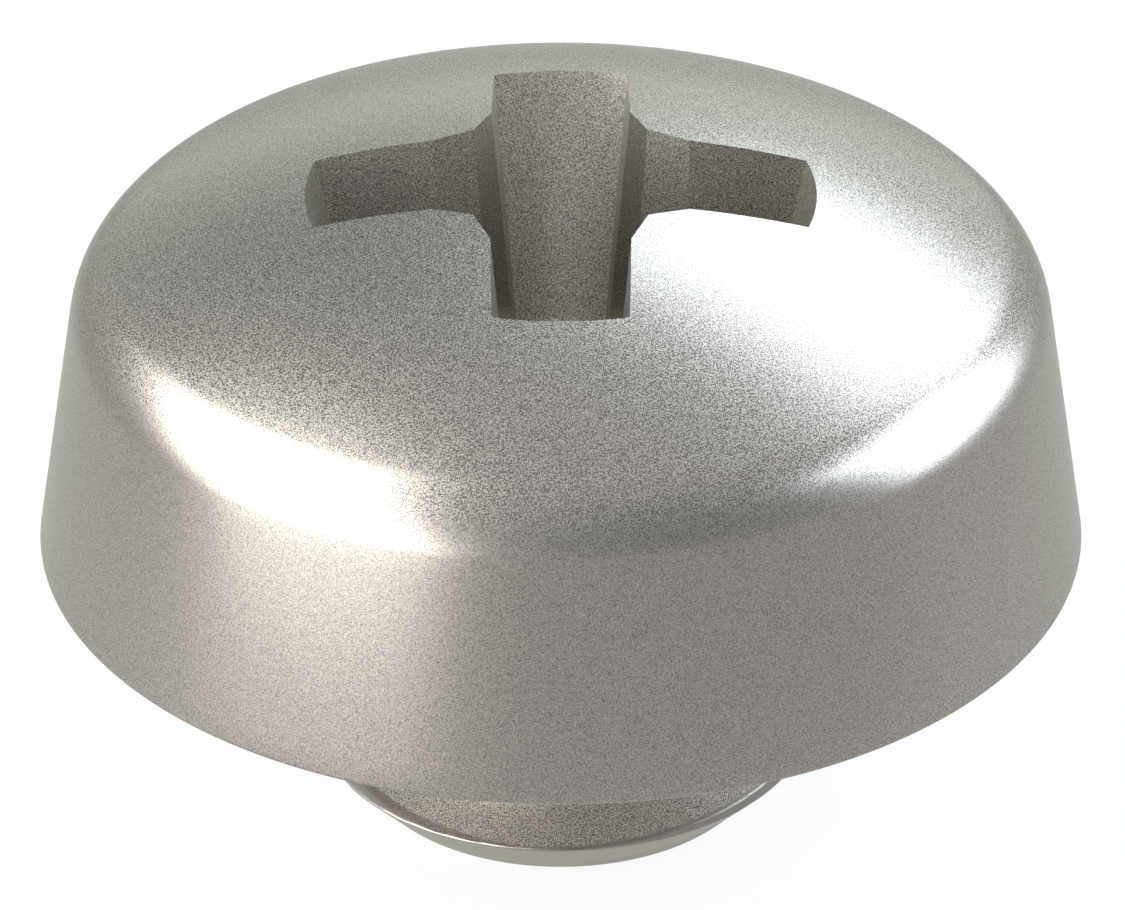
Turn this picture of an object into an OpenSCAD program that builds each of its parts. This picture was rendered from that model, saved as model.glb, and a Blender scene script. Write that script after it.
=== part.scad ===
// Raised cheese head screw with a cross recess, cold headed from one piece of wire.
// The origin is at the centre of the head's flat underside, and +Z runs along the
// axis to the crown. The plain shank stands at the full diameter over the thread.

/* [Head] */
// Diameter of the head at its sharp lower rim
head_d = 6; // [5.6:0.1:6.4]
// Height from the flat underside to the top of the crown
head_h = 2.39; // [2.25:0.01:2.6]
// Lean of the head's side towards the axis, in degrees
side_lean = 8; // [2:0.5:10]
// Radius of the domed crown
crown_r = 5.75; // [5:0.25:9]
// Radius of the rounded edge between the side and the crown
edge_r = 0.5; // [0.3:0.05:0.6]

/* [Shank] */
// Diameter over the crests of the thread
thread_d = 2.89; // [2.7:0.01:3]
// Length from the underside of the head to the flat end
shank_l = 1.6; // [1.2:0.1:12]
// Height and width of the 45 degree chamfer at the end
chamfer = 0.32; // [0.1:0.02:0.5]
// Radius of the hollow corner where the shank meets the head
neck_r = 0.1; // [0.05:0.01:0.15]

/* [Cross recess] */
// Diameter over the wing tips, where they cut the crown
recess_d = 2.9; // [2.6:0.05:3.1]
// Width of a wing at the height of those tips
wing_w = 0.77; // [0.65:0.01:0.85]
// Width over two opposite core facets at the same height
core_w = 1.26; // [1.2:0.01:1.34]
// Angle between a core facet and the wing beside it
facet_turn = 22; // [20:0.5:26]
// Draft of the wing sides and the core facets
wall_draft = 5; // [3:0.5:6]
// Lean of the wing ends towards the axis
end_lean = 13.25; // [8:0.25:20]
// Depth of the wings below the height of their tips
wing_depth = 1.5; // [1.2:0.05:1.6]
// Slope of the pointed bottom below the wings
point_slope = 18; // [10:1:20]

/* [Hidden] */
$fn = 128;

head_r = head_d / 2;
thread_r = thread_d / 2;
recess_r = recess_d / 2;

// The crown's arc is centred on the axis, and the edge's arc touches both the
// crown's arc and the leaning side.
crown_z = head_h - crown_r;
edge_reach = crown_r - edge_r;
edge_turn = side_lean
    + acos((head_r * cos(side_lean) - edge_r - crown_z * sin(side_lean)) / edge_reach);
edge_at = [0, crown_z] + edge_reach * heading(edge_turn);
// The edge's disc is this much larger, so that it crosses them at two clear corners.
edge_over = 0.001;

// The recess is given at the height where its wing tips cut the crown.
tip_z = crown_z + sqrt(crown_r * crown_r - recess_r * recess_r);
wing_bottom_z = tip_z - wing_depth;
wing_bottom_r = recess_r - wing_depth * tan(end_lean);
point_z = wing_bottom_z - wing_bottom_r * tan(point_slope);
// How far cutting shapes reach past the head, and how far the shank reaches into it
clear = 0.5;
lap = 0.1;
recess_top_z = head_h + clear;
bar_bottom_z = point_z - clear;

// Unit step in the direction that is turn degrees up from level
function heading(turn) = [cos(turn), sin(turn)];

// Half section of the head: the leaning side, the domed crown and the round edge
module head_profile() {
    top_z = head_h + clear;
    intersection() {
        polygon([[0, 0], [head_r, 0], [head_r - top_z * tan(side_lean), top_z], [0, top_z]]);
        translate([0, crown_z]) circle(crown_r);
        union() {
            translate(edge_at) circle(edge_r + edge_over);
            inside_of_edge();
        }
    }
}

// Everything but the sector in which the edge's arc bounds the head
module inside_of_edge() {
    side_far = edge_at + head_r * heading(side_lean);
    crown_far = edge_at + head_r * heading(edge_turn);
    polygon([
        edge_at, side_far, [side_far.x, -clear], [-clear, -clear],
        [-clear, crown_far.y], crown_far
    ]);
}

// Half section of the shank, with its chamfered end and the hollow neck corner
module shank_profile() {
    polygon([
        [0, lap], [thread_r, lap], [thread_r, chamfer - shank_l],
        [thread_r - chamfer, -shank_l], [0, -shank_l]
    ]);
    difference() {
        translate([thread_r - lap, -neck_r]) square(lap + neck_r);
        translate([thread_r + neck_r, -neck_r]) circle(neck_r);
    }
}

// Bar along X that widens upwards by the draft and is width wide at tip_z
module drafted_bar(width) {
    low = width / 2 + (bar_bottom_z - tip_z) * tan(wall_draft);
    high = width / 2 + (recess_top_z - tip_z) * tan(wall_draft);
    rotate([90, 0, 90])
        linear_extrude(2 * head_d, center = true)
            polygon([
                [-low, bar_bottom_z], [low, bar_bottom_z],
                [high, recess_top_z], [-high, recess_top_z]
            ]);
}

// Round space that the leaning wing ends and the pointed bottom lie on
module recess_envelope() {
    top_r = recess_r + (recess_top_z - tip_z) * tan(end_lean);
    rotate_extrude()
        polygon([
            [0, point_z], [wing_bottom_r, wing_bottom_z],
            [top_r, recess_top_z], [0, recess_top_z]
        ]);
}

// Four wings, and between them the core's ridges where two rhombic bars cross
module cross_recess() {
    intersection() {
        for (turn = [0, 90]) rotate(turn) {
            drafted_bar(wing_w);
            intersection() {
                rotate(facet_turn) drafted_bar(core_w);
                rotate(-facet_turn) drafted_bar(core_w);
            }
        }
        recess_envelope();
    }
}

module screw() {
    color("lightgray")
        difference() {
            union() {
                rotate_extrude() head_profile();
                rotate_extrude() shank_profile();
            }
            cross_recess();
        }
}

screw();
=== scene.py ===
import math

import bpy
from mathutils import Matrix, Vector


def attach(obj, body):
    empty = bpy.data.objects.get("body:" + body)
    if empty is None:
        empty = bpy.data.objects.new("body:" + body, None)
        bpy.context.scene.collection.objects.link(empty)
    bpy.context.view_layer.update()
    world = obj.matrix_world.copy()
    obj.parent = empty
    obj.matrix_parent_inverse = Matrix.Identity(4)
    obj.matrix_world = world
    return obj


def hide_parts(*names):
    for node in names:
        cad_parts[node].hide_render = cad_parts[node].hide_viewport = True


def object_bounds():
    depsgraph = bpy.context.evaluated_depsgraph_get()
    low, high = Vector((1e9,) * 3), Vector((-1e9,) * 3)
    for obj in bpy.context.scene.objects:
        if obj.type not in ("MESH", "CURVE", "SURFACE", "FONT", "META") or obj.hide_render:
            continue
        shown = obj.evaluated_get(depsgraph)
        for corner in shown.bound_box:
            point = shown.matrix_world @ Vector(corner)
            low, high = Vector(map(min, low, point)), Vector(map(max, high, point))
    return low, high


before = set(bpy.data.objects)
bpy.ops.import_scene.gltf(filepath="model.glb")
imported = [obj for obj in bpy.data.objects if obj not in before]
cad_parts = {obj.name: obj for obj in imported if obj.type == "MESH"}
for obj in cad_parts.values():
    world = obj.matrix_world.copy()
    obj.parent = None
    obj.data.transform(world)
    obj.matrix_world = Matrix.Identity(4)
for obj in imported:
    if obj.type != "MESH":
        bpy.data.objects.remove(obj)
cad_low, cad_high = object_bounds()
mm = 0.001


# The view
# A long lens looks down on the screw from about 30 degrees above level, so far off
# that the head is seen almost without perspective.
head_r = (cad_high.x - cad_low.x) / 2
view_rise = math.radians(30.556)
view_distance = 22.5 * head_r
look_at = Vector((0.0032 * head_r, 0, 0.1626 * head_r))

camera_data = bpy.data.cameras.new("camera")
camera_data.sensor_width = 36
camera_data.lens = 376.2
camera_data.clip_start = 1 * mm
camera_data.clip_end = 10
camera = bpy.data.objects.new("camera", camera_data)
towards_camera = Vector((0, -math.cos(view_rise), math.sin(view_rise)))
camera.location = look_at + view_distance * towards_camera
camera.rotation_euler = (math.pi / 2 - view_rise, 0, 0)
bpy.context.collection.objects.link(camera)
bpy.context.scene.camera = camera


# The blank
# The screw is one piece of steel wire. Its head is upset cold in a die, which leaves
# a drafted side and a sharp lower rim, and a punch sinks the cross recess into it.
head_h = 2.39 * mm
side_lean = math.radians(8)
crown_r = 5.75 * mm
edge_r = 0.5 * mm
thread_r = 1.445 * mm
chamfer = 0.32 * mm
neck_r = 0.1 * mm
end_z = cad_low.z

recess_r = 1.45 * mm
wing_half = 0.385 * mm
core_half = 0.63 * mm
facet_turn = math.radians(22)
wall_draft = math.radians(5)
end_lean = math.radians(13.25)
wing_depth = 1.5 * mm
point_slope = math.radians(18)

floor_round = 0.05 * mm
rim_round = 0.021 * mm

crown_z = head_h - crown_r
tip_z = crown_z + math.sqrt(crown_r**2 - recess_r**2)
wing_floor_z = tip_z - wing_depth
wing_floor_r = recess_r - wing_depth * math.tan(end_lean)
point_z = wing_floor_z - wing_floor_r * math.tan(point_slope)

# Faces of the mesh run in columns round the axis. An eighth of a turn has so many on
# half a wing's end, on the wing's side and on the core facet.
end_faces, side_faces, facet_faces = 12, 12, 14
eighth = end_faces + side_faces + facet_faces
columns = 8 * eighth


def crown_height(radius):
    return crown_z + math.sqrt(crown_r**2 - radius**2)


def recess_floor_height(radius):
    return point_z + radius * math.tan(point_slope)


def recess_wall(column, z):
    """The point of the recess's drafted wall at height z, in one column of faces."""
    rise = z - tip_z
    wing = wing_half + rise * math.tan(wall_draft)
    core = core_half + rise * math.tan(wall_draft)
    end = recess_r + rise * math.tan(end_lean)
    facet_start = (core - wing * math.cos(facet_turn)) / math.sin(facet_turn)
    wing_corner = math.asin(wing / end)
    facet_corner = math.atan2(wing, facet_start)

    part, step = divmod(column, eighth)
    if part % 2:
        step = eighth - step
    if step <= end_faces:
        angle = wing_corner * step / end_faces
        reach = end
    elif step <= end_faces + side_faces:
        along = (step - end_faces) / side_faces
        angle = wing_corner + along * (facet_corner - wing_corner)
        reach = wing / math.sin(angle)
    else:
        along = (step - end_faces - side_faces) / facet_faces
        angle = facet_corner + along * (math.pi / 4 - facet_corner)
        reach = core / math.cos(math.pi / 2 - facet_turn - angle)
    if part % 2:
        angle = -angle
    angle += (part + 1) // 2 * math.pi / 2
    return Vector((reach * math.cos(angle), reach * math.sin(angle), z))


def where_wall_meets(column, height_at):
    """Where a column of the wall meets a surface that is given by its height at a radius."""
    point = recess_wall(column, height_at(recess_r))
    for _ in range(8):
        point = recess_wall(column, height_at(point.xy.length))
    return point


def bend(start, corner, end, steps=8):
    """Rows of points that turn a sharp corner between two rows into a soft one."""
    return [
        [
            a * (1 - t) ** 2 + b * 2 * t * (1 - t) + c * t**2
            for a, b, c in zip(start, corner, end)
        ]
        for t in (step / steps for step in range(steps + 1))
    ]


def onto(height_at, x, y):
    return Vector((x, y, height_at(math.hypot(x, y))))


recess_rim = [where_wall_meets(c, crown_height) for c in range(columns)]
recess_foot = [where_wall_meets(c, recess_floor_height) for c in range(columns)]

# The recess's floor, from the centre out, and the hollow corner round it
rows = []
for share in (0.12, 0.25, 0.4, 0.55, 0.7, 0.83):
    rows.append([onto(recess_floor_height, p.x * share, p.y * share) for p in recess_foot])
floor_edge = [
    onto(recess_floor_height, *(p.xy * (1 - floor_round / p.xy.length))) for p in recess_foot
]
wall_start = [recess_wall(c, p.z + floor_round) for c, p in enumerate(recess_foot)]
rows += bend(floor_edge, recess_foot, wall_start)

# The drafted walls, up to the edge where they break through the crown
wall_rows = 15
for row in range(1, wall_rows + 1):
    share = row / wall_rows
    rows.append([
        recess_wall(c, low.z + share * (high.z - low.z))
        for c, (low, high) in enumerate(zip(wall_start, recess_rim))
    ])
rim_row = len(rows) - 1

# The crown, out to where its arc runs into the rounded edge
edge_reach = crown_r - edge_r
edge_turn = side_lean + math.acos(
    (head_r * math.cos(side_lean) - edge_r - crown_z * math.sin(side_lean)) / edge_reach
)
edge_x = edge_reach * math.cos(edge_turn)
edge_z = crown_z + edge_reach * math.sin(edge_turn)
crown_edge_r = crown_r * math.cos(edge_turn)
crown_edge_z = crown_z + crown_r * math.sin(edge_turn)
turns = [math.atan2(p.y, p.x) for p in recess_rim]
crown_rows = 22
for row in range(1, crown_rows):
    ring = []
    for start, turn in zip(recess_rim, turns):
        goal = Vector((crown_edge_r * math.cos(turn), crown_edge_r * math.sin(turn)))
        ring.append(onto(crown_height, *start.xy.lerp(goal, row / crown_rows)))
    rows.append(ring)

# The outside below the crown, as radius and height from the edge down to the end
edge_rows, side_rows, under_rows, neck_rows = 14, 12, 9, 8
outline = []
for step in range(edge_rows + 1):
    turn = edge_turn + (side_lean - edge_turn) * step / edge_rows
    outline.append((edge_x + edge_r * math.cos(turn), edge_z + edge_r * math.sin(turn)))
side_top_z = outline[-1][1]
for step in range(1, side_rows):
    z = side_top_z + (rim_round - side_top_z) * step / side_rows
    outline.append((head_r - z * math.tan(side_lean), z))


def soft_corner(corner, before, after, size):
    """Points that round the corner of an outline over the given size."""
    corner, before, after = Vector(corner), Vector(before), Vector(after)
    start = corner + (before - corner).normalized() * size
    end = corner + (after - corner).normalized() * size
    return [tuple(row[0]) for row in bend([start], [corner], [end])]


neck_x = thread_r + neck_r
under_r = head_r - rim_round
outline += soft_corner((head_r, 0), outline[-1], (neck_x, 0), rim_round)
for step in range(1, under_rows):
    outline.append((under_r + (neck_x - under_r) * step / under_rows, 0))
for step in range(neck_rows + 1):
    turn = math.pi / 2 * (1 + step / neck_rows)
    outline.append((neck_x + neck_r * math.cos(turn), neck_r * (math.sin(turn) - 1)))

# The shank gets close rows, because the thread is rolled into them.
shank_step = 0.008 * mm
end_r = thread_r - chamfer
chamfer_z = end_z + chamfer
shank_rows = round((-neck_r - chamfer_z) / shank_step)
for row in range(1, shank_rows + 1):
    outline.append((thread_r, -neck_r + (chamfer_z + neck_r) * row / shank_rows))
chamfer_rows = round((chamfer - rim_round) / shank_step)
for row in range(1, chamfer_rows):
    down = (chamfer - rim_round) * row / chamfer_rows
    outline.append((thread_r - down, chamfer_z - down))
outline += soft_corner((end_r, end_z), outline[-1], (0, end_z), rim_round)
for share in (0.93, 0.8, 0.6, 0.4, 0.2):
    outline.append((end_r * share, end_z))

# Which faces keep the matt surface that the punch and the rolling dies left, and get a painted
# fill light, down one column
matt_and_painted_fill = [True] + [row < rim_row for row in range(len(rows))]
matt_and_painted_fill += [
    radius < under_r and chamfer_z - shank_step / 2 < z <= 0 for radius, z in outline[1:]
]
matt_and_painted_fill += [False]
rows += [
    [Vector((radius * math.cos(turn), radius * math.sin(turn), z)) for turn in turns]
    for radius, z in outline
]

points = [p for row in rows for p in row]
points += [Vector((0, 0, point_z)), Vector((0, 0, end_z))]
recess_centre, end_centre = len(points) - 2, len(points) - 1
faces = []
for column in range(columns):
    beside = (column + 1) % columns
    faces.append((recess_centre, column, beside))
    for row in range(len(rows) - 1):
        inner, outer = row * columns, (row + 1) * columns
        faces.append((inner + column, outer + column, outer + beside, inner + beside))
    last = (len(rows) - 1) * columns
    faces.append((end_centre, last + beside, last + column))

blank_mesh = bpy.data.meshes.new("screw_blank")
blank_mesh.from_pydata(points, [], faces)
blank_mesh.set_sharp_from_angle(angle=math.radians(20))
matt_and_fill_faces = blank_mesh.attributes.new("matt_and_painted_fill", "FLOAT", "FACE")
matt_and_fill_faces.data.foreach_set("value", [float(value) for value in matt_and_painted_fill] * columns)
blank = bpy.data.objects.new("screw_blank", blank_mesh)
bpy.context.collection.objects.link(blank)


# The steel
# Plain stainless steel, barrel finished to a satin of tiny flecks. The recess, the underside
# and the shank stay matt, as punch and dies left them, and are painted much lighter and
# browner, a painted fill light that lifts them out of their shade. The chamfer is cut smooth
# and painted lighter, a painted reflection of the table, and the crests of the thread are
# painted darker, a painted shade.
satin_dark, satin_bright = (0.275, 0.253, 0.234, 1), (0.6, 0.552, 0.511, 1)
painted_fill_dark, painted_fill_bright = (0.26, 0.246, 0.231, 1), (0.93, 0.883, 0.828, 1)
crest_painted_shade = (0.35, 0.325, 0.3, 1)
chamfer_painted_light = (0.57, 0.537, 0.494, 1)
grazing_tint = (0.96, 1.0, 0.92, 1)
satin_gloss, satin_dull = 0.225, 0.345
recess_roughness, shank_roughness, cut_roughness = 0.34, 0.44, 0.4
fine_fleck, crown_fleck = 0.0066 * mm, 0.0078 * mm
dent_depth = 0.0003 * mm

# What a noise of 0 and a noise of 1 become where the flecks are faint and strong, and
# the stretch of those values over which the tone and the gloss change
faint_flecks, strong_flecks = (0.13, 0.91), (-0.45, 1.45)
tone_span, gloss_span = (0.35, 0.65), (0.38, 0.68)
even_satin, even_cut = 0.55, 0.5

steel = bpy.data.materials.new("satin_stainless_steel")
steel.use_nodes = True
steel_nodes, steel_links = steel.node_tree.nodes, steel.node_tree.links
surface = steel_nodes["Principled BSDF"]
surface.inputs["Metallic"].default_value = 1.0
surface.inputs["Specular Tint"].default_value = grazing_tint

place = steel_nodes.new("ShaderNodeTexCoord").outputs["Object"]


def steel_noise(size):
    """A noise over the surface with features of about the given size."""
    noise = steel_nodes.new("ShaderNodeTexNoise")
    noise.inputs["Scale"].default_value = 1 / size
    noise.inputs["Detail"].default_value = 0.0
    steel_links.new(place, noise.inputs["Vector"])
    return noise.outputs["Fac"]


def steel_ramp(mask, low, high, from_low, from_high):
    """Turns a mask into values between low and high."""
    ramp = steel_nodes.new("ShaderNodeMapRange")
    ramp.inputs["From Min"].default_value = from_low
    ramp.inputs["From Max"].default_value = from_high
    ramp.inputs["To Min"].default_value = low
    ramp.inputs["To Max"].default_value = high
    steel_links.new(mask, ramp.inputs["Value"])
    return ramp.outputs["Result"]


def steel_mix(mask, kind, a, b):
    """Mixes two colours or two values by a mask. Each is a socket or a constant."""
    mix = steel_nodes.new("ShaderNodeMix")
    mix.data_type = kind
    sockets = [s for s in mix.inputs if s.enabled and s.name in "AB"]
    for socket, value in zip(sockets, (a, b)):
        if isinstance(value, (float, tuple)):
            socket.default_value = value
        else:
            steel_links.new(value, socket)
    steel_links.new(mask, mix.inputs["Factor"])
    return next(s for s in mix.outputs if s.enabled)


split_place = steel_nodes.new("ShaderNodeSeparateXYZ")
steel_links.new(place, split_place.inputs["Vector"])
height = split_place.outputs["Z"]
matt_and_fill_node = steel_nodes.new("ShaderNodeAttribute")
matt_and_fill_node.attribute_name = "matt_and_painted_fill"
matt_and_fill = matt_and_fill_node.outputs["Fac"]
on_chamfer = steel_ramp(height, 1.0, 0.0, chamfer_z - 0.03 * mm, chamfer_z - 0.02 * mm)
on_crown = steel_ramp(height, 0.0, 1.0, side_top_z, crown_edge_z)
past_edge = steel_ramp(height, 0.0, 1.0, (side_top_z + crown_edge_z) / 2, crown_edge_z)

# The crests of the thread are painted darker, a painted shade that dims the lamps' glint on
# them.
from_axis = steel_nodes.new("ShaderNodeVectorMath")
from_axis.operation = "MULTIPLY"
from_axis.inputs[1].default_value = (1, 1, 0)
steel_links.new(place, from_axis.inputs[0])
reach = steel_nodes.new("ShaderNodeVectorMath")
reach.operation = "LENGTH"
steel_links.new(from_axis.outputs["Vector"], reach.inputs[0])
crest_start, crest_full = thread_r - 0.03 * mm, thread_r - 0.01 * mm
on_crest = steel_ramp(reach.outputs["Value"], 0.0, 1.0, crest_start, crest_full)
below_neck = steel_ramp(height, 1.0, 0.0, -2 * neck_r, -neck_r)
on_crest = steel_mix(below_neck, "FLOAT", 0.0, on_crest)

# The flecks are faint on the side and strong and coarser on the crown, which takes
# the most knocks. Only there, and where the steel is as formed, are they dents as well.
fine = steel_noise(fine_fleck)
faint = steel_ramp(fine, *faint_flecks, 0.0, 1.0)
strong = steel_ramp(steel_noise(crown_fleck), *strong_flecks, 0.0, 1.0)
flecks = steel_mix(on_crown, "FLOAT", faint, strong)
flecks = steel_mix(matt_and_fill, "FLOAT", flecks, fine)
flecks = steel_mix(on_chamfer, "FLOAT", flecks, even_cut)
dents = steel_mix(past_edge, "FLOAT", even_satin, strong)
dents = steel_mix(matt_and_fill, "FLOAT", dents, fine)
dents = steel_mix(on_chamfer, "FLOAT", dents, even_cut)

bright_flecks = steel_ramp(flecks, 0.0, 1.0, *tone_span)
satin_tone = steel_mix(bright_flecks, "RGBA", satin_dark, satin_bright)
painted_fill_tone = steel_mix(bright_flecks, "RGBA", painted_fill_dark, painted_fill_bright)
# The matt parts take a much lighter tone, a painted fill light in the recess, under the head
# and on the shank.
tone = steel_mix(matt_and_fill, "RGBA", satin_tone, painted_fill_tone)
# A painted shade on the crests of the thread.
tone = steel_mix(on_crest, "RGBA", tone, crest_painted_shade)
# The chamfer takes a lighter tone, a painted reflection of the table below it.
tone = steel_mix(on_chamfer, "RGBA", tone, chamfer_painted_light)
steel_links.new(tone, surface.inputs["Base Color"])

satin = steel_ramp(dents, satin_gloss, satin_dull, *gloss_span)
matt = steel_ramp(height, shank_roughness, recess_roughness, -0.02 * mm, -0.01 * mm)
roughness = steel_mix(matt_and_fill, "FLOAT", satin, matt)
roughness = steel_mix(on_chamfer, "FLOAT", roughness, cut_roughness)
steel_links.new(roughness, surface.inputs["Roughness"])

relief = steel_nodes.new("ShaderNodeBump")
relief.inputs["Strength"].default_value = 1.0
relief.inputs["Distance"].default_value = dent_depth
steel_links.new(dents, relief.inputs["Height"])
steel_links.new(relief.outputs["Normal"], surface.inputs["Normal"])


# The thread
# A right-hand M3 thread with 0.5 mm pitch is rolled into the shank between two dies.
# It fades out below the neck, and the chamfer cuts its last turn.
flank_slope = math.tan(math.radians(60))
thread_sizes = {
    "Pitch": 0.5 * mm,
    "Crest radius": thread_r,
    "Root radius": 1.17 * mm,
    "Half crest": 0.055 * mm,
    "Crest height in front": -1.34 * mm,
    "Root rounding": 0.05 * mm,
    "Crest rounding": 0.003 * mm,
    "Full depth below": -0.42 * mm,
    "Fade": 1.3,
    "Neck height": -neck_r,
}

thread_tree = bpy.data.node_groups.new("rolled_thread", "GeometryNodeTree")
thread_tree.is_modifier = True
thread_inputs = {}
thread_tree.interface.new_socket("Geometry", in_out="INPUT", socket_type="NodeSocketGeometry")
thread_tree.interface.new_socket("Geometry", in_out="OUTPUT", socket_type="NodeSocketGeometry")
for name in thread_sizes:
    socket = thread_tree.interface.new_socket(
        name, in_out="INPUT", socket_type="NodeSocketFloat"
    )
    thread_inputs[name] = socket.identifier
socket = thread_tree.interface.new_socket(
    "Steel", in_out="INPUT", socket_type="NodeSocketMaterial"
)
thread_inputs["Steel"] = socket.identifier

given = thread_tree.nodes.new("NodeGroupInput")
result = thread_tree.nodes.new("NodeGroupOutput")


def sum_of(operation, *values):
    """A Math node of the thread's tree. Each value is a socket or a number."""
    node = thread_tree.nodes.new("ShaderNodeMath")
    node.operation = operation
    for socket, value in zip(node.inputs, values):
        if isinstance(value, (int, float)):
            socket.default_value = value
        else:
            thread_tree.links.new(value, socket)
    return node.outputs[0]


position = thread_tree.nodes.new("GeometryNodeInputPosition")
split = thread_tree.nodes.new("ShaderNodeSeparateXYZ")
thread_tree.links.new(position.outputs[0], split.inputs[0])
x, y, z = split.outputs
radius = sum_of("SQRT", sum_of("ADD", sum_of("MULTIPLY", x, x), sum_of("MULTIPLY", y, y)))

# Turns of the helix above the crest that passes the front at the given height
height_turns = sum_of(
    "DIVIDE",
    sum_of("SUBTRACT", z, given.outputs["Crest height in front"]),
    given.outputs["Pitch"],
)
round_turns = sum_of(
    "DIVIDE", sum_of("ADD", sum_of("ARCTAN2", y, x), math.pi / 2), 2 * math.pi
)
turns_up = sum_of("SUBTRACT", height_turns, round_turns)
from_crest = sum_of(
    "MULTIPLY",
    sum_of("ABSOLUTE", sum_of("SUBTRACT", sum_of("FRACT", sum_of("ADD", turns_up, 0.5)), 0.5)),
    given.outputs["Pitch"],
)
flank_drop = sum_of(
    "MULTIPLY",
    sum_of("SUBTRACT", from_crest, given.outputs["Half crest"]),
    flank_slope,
)
groove = sum_of(
    "SMOOTH_MAX",
    sum_of("SUBTRACT", given.outputs["Crest radius"], flank_drop),
    given.outputs["Root radius"],
    given.outputs["Root rounding"],
)
fade_out = sum_of(
    "MULTIPLY",
    sum_of("MAXIMUM", sum_of("SUBTRACT", z, given.outputs["Full depth below"]), 0.0),
    given.outputs["Fade"],
)
rolled_radius = sum_of(
    "SMOOTH_MIN", sum_of("ADD", groove, fade_out), radius, given.outputs["Crest rounding"]
)
shrink = sum_of("DIVIDE", rolled_radius, radius)
moved = thread_tree.nodes.new("ShaderNodeCombineXYZ")
thread_tree.links.new(sum_of("MULTIPLY", x, shrink), moved.inputs[0])
thread_tree.links.new(sum_of("MULTIPLY", y, shrink), moved.inputs[1])
thread_tree.links.new(z, moved.inputs[2])

# Only the shank moves, and not the middle of its flat end, where the radius is nought.
clear_of_axis = 0.5 * mm
on_shank = sum_of(
    "MULTIPLY",
    sum_of("LESS_THAN", z, given.outputs["Neck height"]),
    sum_of("GREATER_THAN", radius, clear_of_axis),
)
roll = thread_tree.nodes.new("GeometryNodeSetPosition")
thread_tree.links.new(given.outputs["Geometry"], roll.inputs["Geometry"])
thread_tree.links.new(on_shank, roll.inputs["Selection"])
thread_tree.links.new(moved.outputs[0], roll.inputs["Position"])
realize = thread_tree.nodes.new("GeometryNodeRealizeInstances")
finish = thread_tree.nodes.new("GeometryNodeSetMaterial")
thread_tree.links.new(roll.outputs[0], realize.inputs[0])
thread_tree.links.new(realize.outputs[0], finish.inputs["Geometry"])
thread_tree.links.new(given.outputs["Steel"], finish.inputs["Material"])
thread_tree.links.new(finish.outputs[0], result.inputs[0])

rolling = blank.modifiers.new("rolled_thread", "NODES")
rolling.node_group = thread_tree
for name, size in thread_sizes.items():
    rolling[thread_inputs[name]] = size
rolling[thread_inputs["Steel"]] = steel
evaluated = blank.evaluated_get(bpy.context.evaluated_depsgraph_get())
screw_mesh = bpy.data.meshes.new_from_object(evaluated)
screw_mesh.name = "screw"
blank.modifiers.remove(rolling)
bpy.data.objects.remove(blank)

screw = bpy.data.objects.new("screw_in_steel", screw_mesh)
bpy.context.collection.objects.link(screw)
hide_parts("screw")
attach(screw, "root")


# The floor
# A pale studio table under the screw's flat end, wider than every view. It glows white in a
# painted pool of light under and behind the screw and greyer farther out, to set off the
# bright crown, and only in that pool does it take the lamps' light and the screw's shadow.
floor_half = 2.0
pool_centre = (-1 * mm, 3.6 * mm, end_z)
pool_inner, pool_outer = 7.6 * mm, 12.5 * mm
pool_colour = 0.11
far_pale, pool_gain = 0.72, 0.18
pale_in_steel = 0.52

floor_mesh = bpy.data.meshes.new("studio_floor")
floor_mesh.from_pydata(
    [
        (-floor_half, -floor_half, end_z), (floor_half, -floor_half, end_z),
        (floor_half, floor_half, end_z), (-floor_half, floor_half, end_z),
    ],
    [],
    [(0, 1, 2, 3)],
)
studio_floor = bpy.data.objects.new("studio_floor", floor_mesh)
bpy.context.collection.objects.link(studio_floor)
floor_white = bpy.data.materials.new("floor_white")
floor_white.use_nodes = True
floor_nodes, floor_links = floor_white.node_tree.nodes, floor_white.node_tree.links
floor_surface = floor_nodes["Principled BSDF"]
floor_surface.inputs["Roughness"].default_value = 0.9
floor_surface.inputs["Specular IOR Level"].default_value = 0.0
floor_surface.inputs["Emission Color"].default_value = (1, 1, 1, 1)
ray = floor_nodes.new("ShaderNodeLightPath")


def floor_sum(operation, a, b):
    """A Math node of the floor's material. b is a socket or a number."""
    node = floor_nodes.new("ShaderNodeMath")
    node.operation = operation
    floor_links.new(a, node.inputs[0])
    if isinstance(b, float):
        node.inputs[1].default_value = b
    else:
        floor_links.new(b, node.inputs[1])
    return node.outputs[0]


floor_place = floor_nodes.new("ShaderNodeTexCoord")
floor_reach = floor_nodes.new("ShaderNodeVectorMath")
floor_reach.operation = "DISTANCE"
floor_reach.inputs[1].default_value = pool_centre
floor_links.new(floor_place.outputs["Object"], floor_reach.inputs[0])
painted_light_pool = floor_nodes.new("ShaderNodeMapRange")
painted_light_pool.interpolation_type = "SMOOTHSTEP"
painted_light_pool.inputs["From Min"].default_value = pool_outer
painted_light_pool.inputs["From Max"].default_value = pool_inner
floor_links.new(floor_reach.outputs["Value"], painted_light_pool.inputs["Value"])
in_painted_pool = painted_light_pool.outputs["Result"]
# Only the painted pool of light has a colour that takes the lamps' light and the screw's
# shadow.
pool_grey = floor_sum("MULTIPLY", in_painted_pool, pool_colour)
floor_links.new(pool_grey, floor_surface.inputs["Base Color"])

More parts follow.
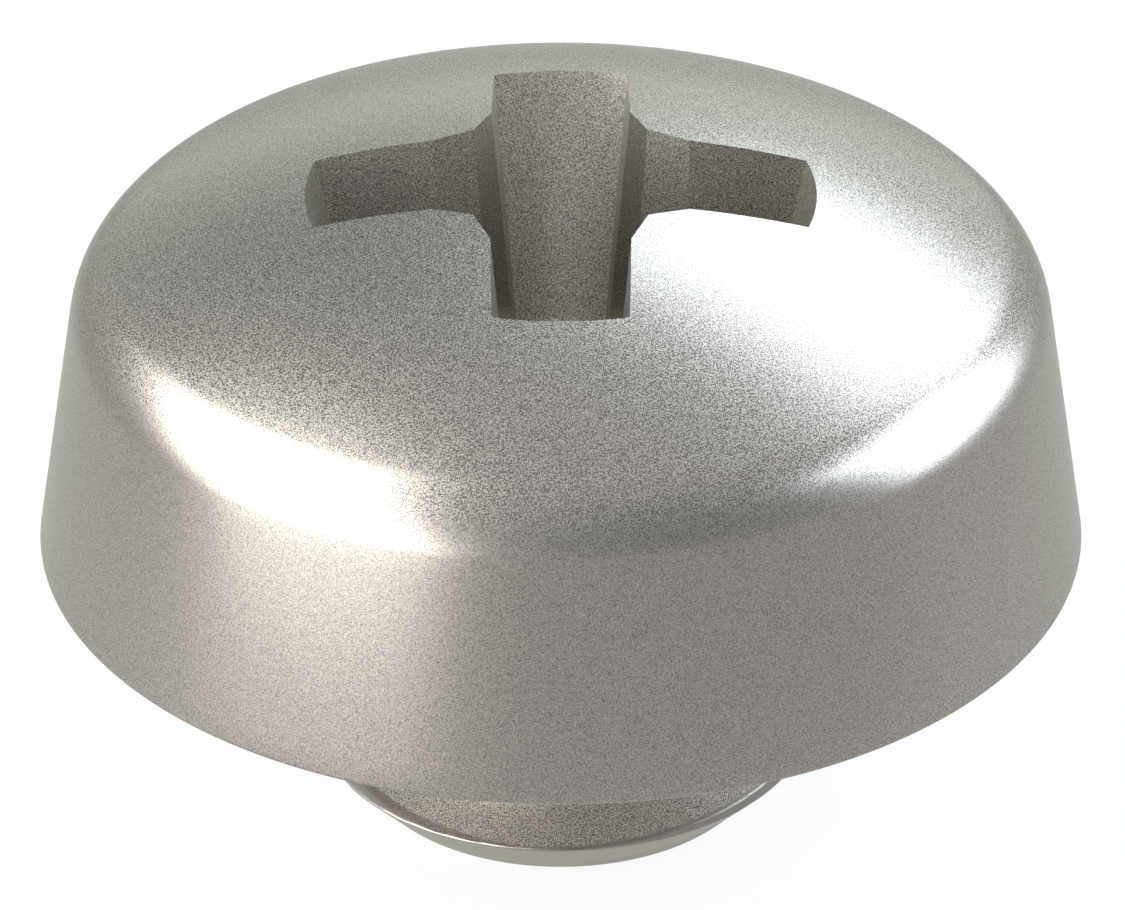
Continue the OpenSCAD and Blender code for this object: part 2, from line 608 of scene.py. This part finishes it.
# The view sees the pool as white, and the steel sees the whole table, a little dimmer.
in_steel = floor_sum("ADD", ray.outputs["Is Glossy Ray"], ray.outputs["Is Transmission Ray"])
pale = floor_sum("ADD", floor_sum("MULTIPLY", in_painted_pool, pool_gain), far_pale)
to_view = floor_sum("MULTIPLY", ray.outputs["Is Camera Ray"], pale)
seen = floor_sum("ADD", floor_sum("MULTIPLY", in_steel, pale_in_steel), to_view)
floor_links.new(seen, floor_surface.inputs["Emission Strength"])
floor_mesh.materials.append(floor_white)


# The light
# A large soft box stands close by in front on the left and a smaller one on the right,
# and a third is far off behind. The room is pale, dimmer in places and brighter behind.
lamp_radiance = 3.6
neutral = (0.99, 1.0, 0.965)
cool = (0.885, 1.0, 1.11)


def facing(turn, rise):
    """The direction that is turn degrees from +Y towards +X and rise degrees up."""
    turn, rise = math.radians(turn), math.radians(rise)
    return Vector((
        math.sin(turn) * math.cos(rise), math.cos(turn) * math.cos(rise), math.sin(rise)
    ))


def soft_box(name, turn, rise, roll, width, height, distance, colour):
    """An area lamp that faces the screw. Its width and height are angles, in degrees."""
    data = bpy.data.lights.new(name, "AREA")
    data.shape = "RECTANGLE"
    data.size = 2 * distance * math.tan(math.radians(width / 2))
    data.size_y = 2 * distance * math.tan(math.radians(height / 2))
    data.color = colour
    data.energy = lamp_radiance * math.pi * data.size * data.size_y
    lamp = bpy.data.objects.new(name, data)
    away = facing(turn, rise)
    side = Vector((0, 0, 1)).cross(away).normalized()
    up = away.cross(side)
    upright = Matrix((side, up, away)).transposed()
    lamp.matrix_world = (upright @ Matrix.Rotation(math.radians(roll), 3, "Z")).to_4x4()
    lamp.location = away * distance
    lamp.visible_camera = False
    bpy.context.collection.objects.link(lamp)


soft_box("box_left", -117.8, 26, 32.5, 53.8, 89.1, 10.7 * mm, neutral)
soft_box("box_right", 82.7, 23.1, 7.3, 45.5, 45.5, 27 * mm, cool)
soft_box("box_behind", 25.7, 39.7, -7.8, 31.4, 27.9, 300 * mm, cool)

world = bpy.data.worlds.new("studio_room")
world.use_nodes = True
bpy.context.scene.world = world
room_nodes, room_links = world.node_tree.nodes, world.node_tree.links
room = room_nodes["Background"]
room.inputs["Strength"].default_value = 1.0
outward = room_nodes.new("ShaderNodeTexCoord")
wall_colour = (0.72, 0.725, 0.73, 1)
room_light = (0.55, 0.57, 0.575)

# Each patch: its direction as for facing(), the nearness to that direction at which it
# starts and at which it is full, and its change of the room's colour
room_patches = (
    (135, 6, 0.35, 0.95, (-0.2, -0.19, -0.19)),
    (-33, 41, 0.86, 1.0, (-0.09, -0.08, -0.085)),
    (0, 35, 0.85, 1.0, (-0.1, -0.09, -0.09)),
    (0, 0, 0.85, 1.0, (0.385, 0.42, 0.4)),
)


def add_light(amount, change, before):
    """Adds a change of colour, in the given amount, to the room's colour so far."""
    add = room_nodes.new("ShaderNodeVectorMath")
    add.operation = "MULTIPLY_ADD"
    room_links.new(amount, add.inputs[0])
    add.inputs[1].default_value = change
    if isinstance(before, tuple):
        add.inputs[2].default_value = before
    else:
        room_links.new(before, add.inputs[2])
    return add.outputs[0]


for turn, rise, edge, centre, change in room_patches:
    nearness = room_nodes.new("ShaderNodeVectorMath")
    nearness.operation = "DOT_PRODUCT"
    nearness.inputs[1].default_value = facing(turn, rise)
    room_links.new(outward.outputs["Generated"], nearness.inputs[0])
    patch = room_nodes.new("ShaderNodeMapRange")
    patch.interpolation_type = "SMOOTHSTEP"
    patch.inputs["From Min"].default_value = edge
    patch.inputs["From Max"].default_value = centre
    room_links.new(nearness.outputs["Value"], patch.inputs["Value"])
    room_light = add_light(patch.outputs["Result"], change, room_light)

# The view sees the room as one plain pale wall, as grey as the far end of the table.
room_ray = room_nodes.new("ShaderNodeLightPath")
wall = room_nodes.new("ShaderNodeMix")
wall.data_type = "RGBA"
room_links.new(room_ray.outputs["Is Camera Ray"], wall.inputs[0])
room_links.new(room_light, wall.inputs[6])
wall.inputs[7].default_value = wall_colour
room_links.new(wall.outputs[2], room.inputs["Color"])

bpy.context.scene.view_settings.view_transform = "Standard"
